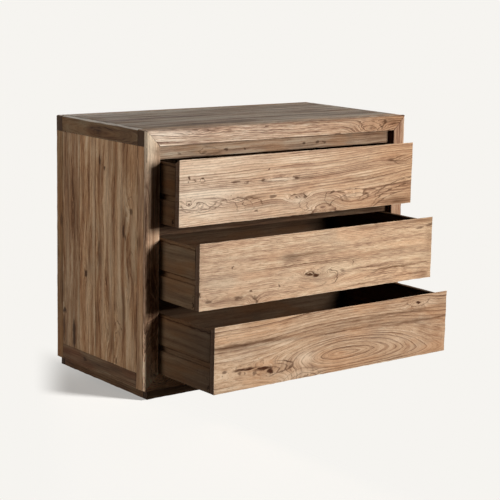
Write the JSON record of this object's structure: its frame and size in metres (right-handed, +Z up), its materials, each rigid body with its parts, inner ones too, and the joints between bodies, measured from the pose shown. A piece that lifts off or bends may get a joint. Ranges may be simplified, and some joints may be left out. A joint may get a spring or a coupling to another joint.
{
  "type": "chest of drawers",
  "caption": "Low free-standing chest in reclaimed wood: mitred front frame, recessed plinth and inset drawers with bevelled tops instead of handles, sliding on side runners.",
  "frame": {"origin": "on the floor, at the centre of the footprint of the whole chest with its drawers as far open as they stand at rest", "axes": "+Z up, -Y out of the front, +X to the right of a person who faces the front"},
  "size_m": [1, 0.77, 0.79],
  "materials": {
    "carcass_wood": "matte, brushed and waxed",
    "front_frame_wood": "matte, brushed and waxed",
    "drawer_front_wood": "matte, brushed and waxed",
    "drawer_box_wood": "raw matte",
    "top_wood": "matte, brushed and waxed",
    "plinth_wood": "raw matte",
    "hidden_wood": "raw matte",
    "panel_wood": "raw matte",
    "steel": "plain zinc wood screws"
  },
  "bodies": {
    "carcass": {"back_panel": "panel_wood", "bottom_front_rail": "carcass_wood", "bottom_panel": "panel_wood", "bottom_rear_rail": "carcass_wood", "drawer_rail_middle": "carcass_wood", "drawer_rail_top": "carcass_wood", "drawer_rail_upper": "carcass_wood", "frame_bottom_rail": "front_frame_wood", "frame_stile_left": "front_frame_wood", "frame_stile_right": "front_frame_wood", "frame_top_rail": "front_frame_wood", "front_post_left": "carcass_wood", "front_post_right": "carcass_wood", "plinth_front": "plinth_wood", "plinth_rear": "plinth_wood", "plinth_side_left": "plinth_wood", "plinth_side_right": "plinth_wood", "rear_post_left": "carcass_wood", "rear_post_right": "carcass_wood", "runner_lower_left": "hidden_wood", "runner_lower_right": "hidden_wood", "runner_middle_left": "hidden_wood", "runner_middle_right": "hidden_wood", "runner_screws": "steel", "runner_upper_left": "hidden_wood", "runner_upper_right": "hidden_wood", "side_board_1_left": "carcass_wood", "side_board_1_right": "carcass_wood", "side_board_2_left": "carcass_wood", "side_board_2_right": "carcass_wood", "side_board_3_left": "carcass_wood", "side_board_3_right": "carcass_wood", "side_board_4_left": "carcass_wood", "side_board_4_right": "carcass_wood", "side_bottom_rail_left": "carcass_wood", "side_bottom_rail_right": "carcass_wood", "side_top_rail_left": "carcass_wood", "side_top_rail_right": "carcass_wood", "top_board_1": "top_wood", "top_board_2": "top_wood", "top_board_3": "top_wood", "top_cleat_left": "hidden_wood", "top_cleat_right": "hidden_wood", "top_front_rail": "top_wood", "top_rear_rail": "top_wood"},
    "drawer_upper": {"drawer_back_upper": "drawer_box_wood", "drawer_bottom_upper": "panel_wood", "drawer_front_upper": "drawer_front_wood", "drawer_side_upper_left": "drawer_box_wood", "drawer_side_upper_right": "drawer_box_wood"},
    "drawer_middle": {"drawer_back_middle": "drawer_box_wood", "drawer_bottom_middle": "panel_wood", "drawer_front_middle": "drawer_front_wood", "drawer_side_middle_left": "drawer_box_wood", "drawer_side_middle_right": "drawer_box_wood"},
    "drawer_lower": {"drawer_back_lower": "drawer_box_wood", "drawer_bottom_lower": "panel_wood", "drawer_front_lower": "drawer_front_wood", "drawer_side_lower_left": "drawer_box_wood", "drawer_side_lower_right": "drawer_box_wood"}
  },
  "joints": [
    {"name": "upper_drawer_slide", "type": "slide", "parent": "carcass", "child": "drawer_upper", "axis": [0, -1, 0], "range_m": [-0.096, 0.248]},
    {"name": "middle_drawer_slide", "type": "slide", "parent": "carcass", "child": "drawer_middle", "axis": [0, -1, 0], "range_m": [-0.198, 0.146]},
    {"name": "lower_drawer_slide", "type": "slide", "parent": "carcass", "child": "drawer_lower", "axis": [0, -1, 0], "range_m": [-0.274, 0.07]}
  ]
}
